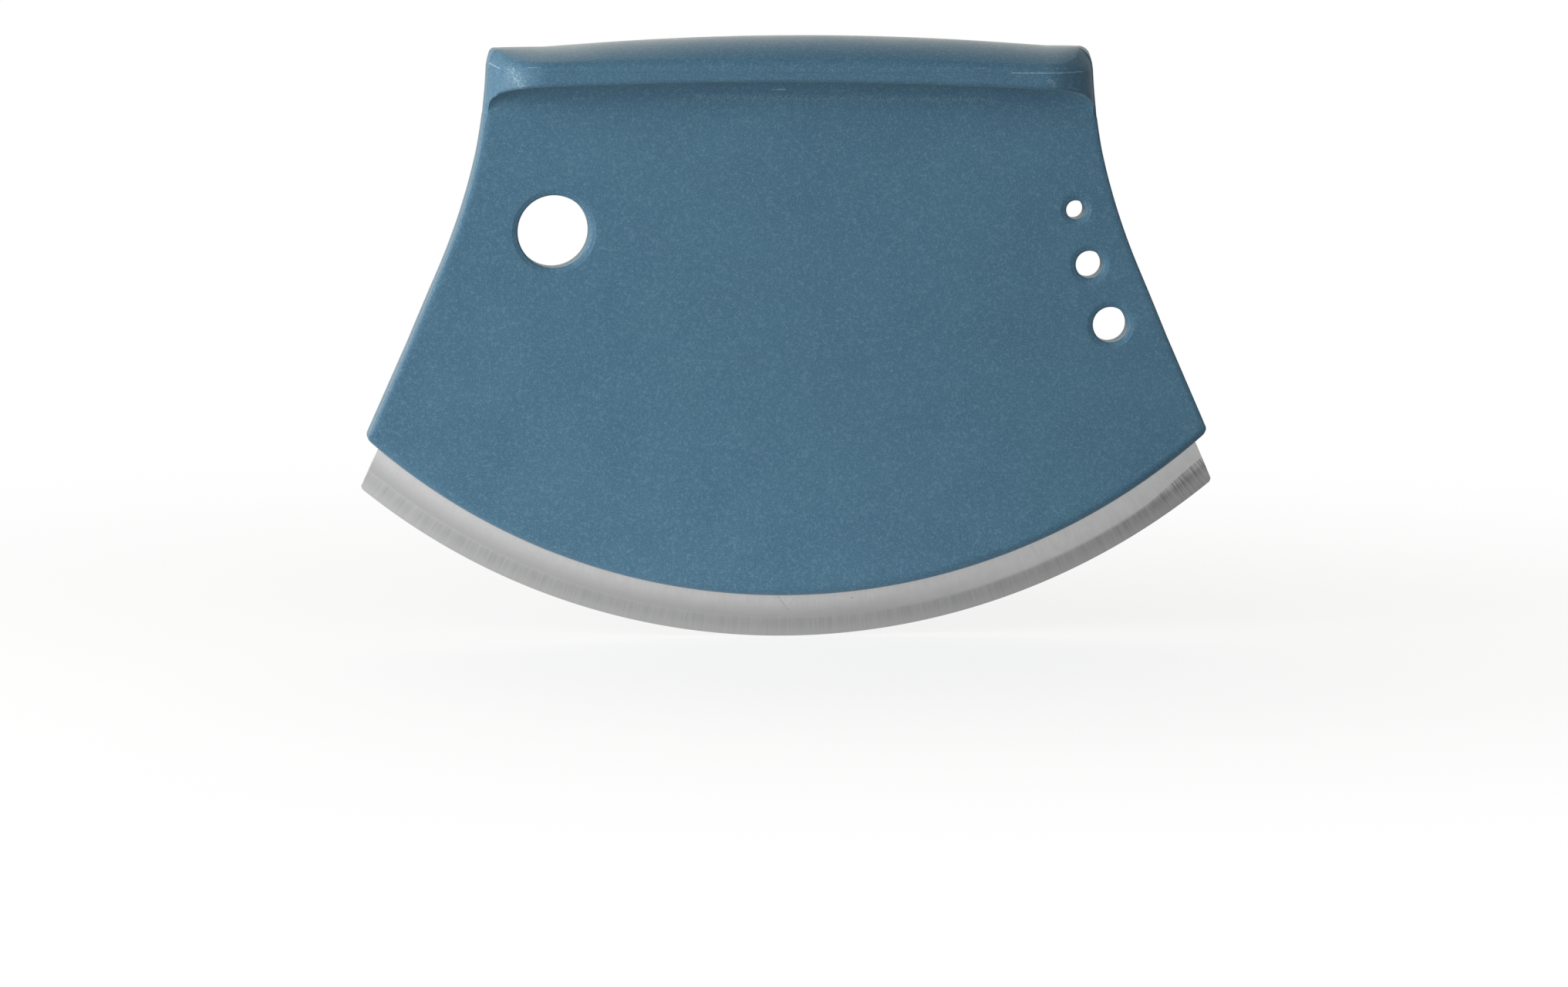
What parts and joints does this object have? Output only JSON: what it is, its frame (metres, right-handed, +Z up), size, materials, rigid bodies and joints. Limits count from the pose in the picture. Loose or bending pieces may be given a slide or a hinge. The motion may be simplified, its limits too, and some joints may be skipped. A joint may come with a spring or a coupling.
{
  "type": "mezzaluna herb knife",
  "caption": "Rocking herb knife with one arched steel blade held in a flat plastic handle plate with a cross grip on top, a hanging hole and herb stripping holes.",
  "frame": {"origin": "lowest point of the cutting edge, on the knife's middle plane", "axes": "+Z up from the cutting edge to the grip, +X along the grip towards the stripping holes, -Y towards the pictured face"},
  "size_m": [0.1824, 0.024, 0.1283],
  "materials": {
    "steel": "satin stainless steel, ground across the arc",
    "plastic": "fine matte grey blue plastic with faint speckle"
  },
  "bodies": {
    "root": {"blade": "steel", "front_shell": "plastic", "back_shell": "plastic", "grip_cap": "plastic"}
  },
  "joints": []
}
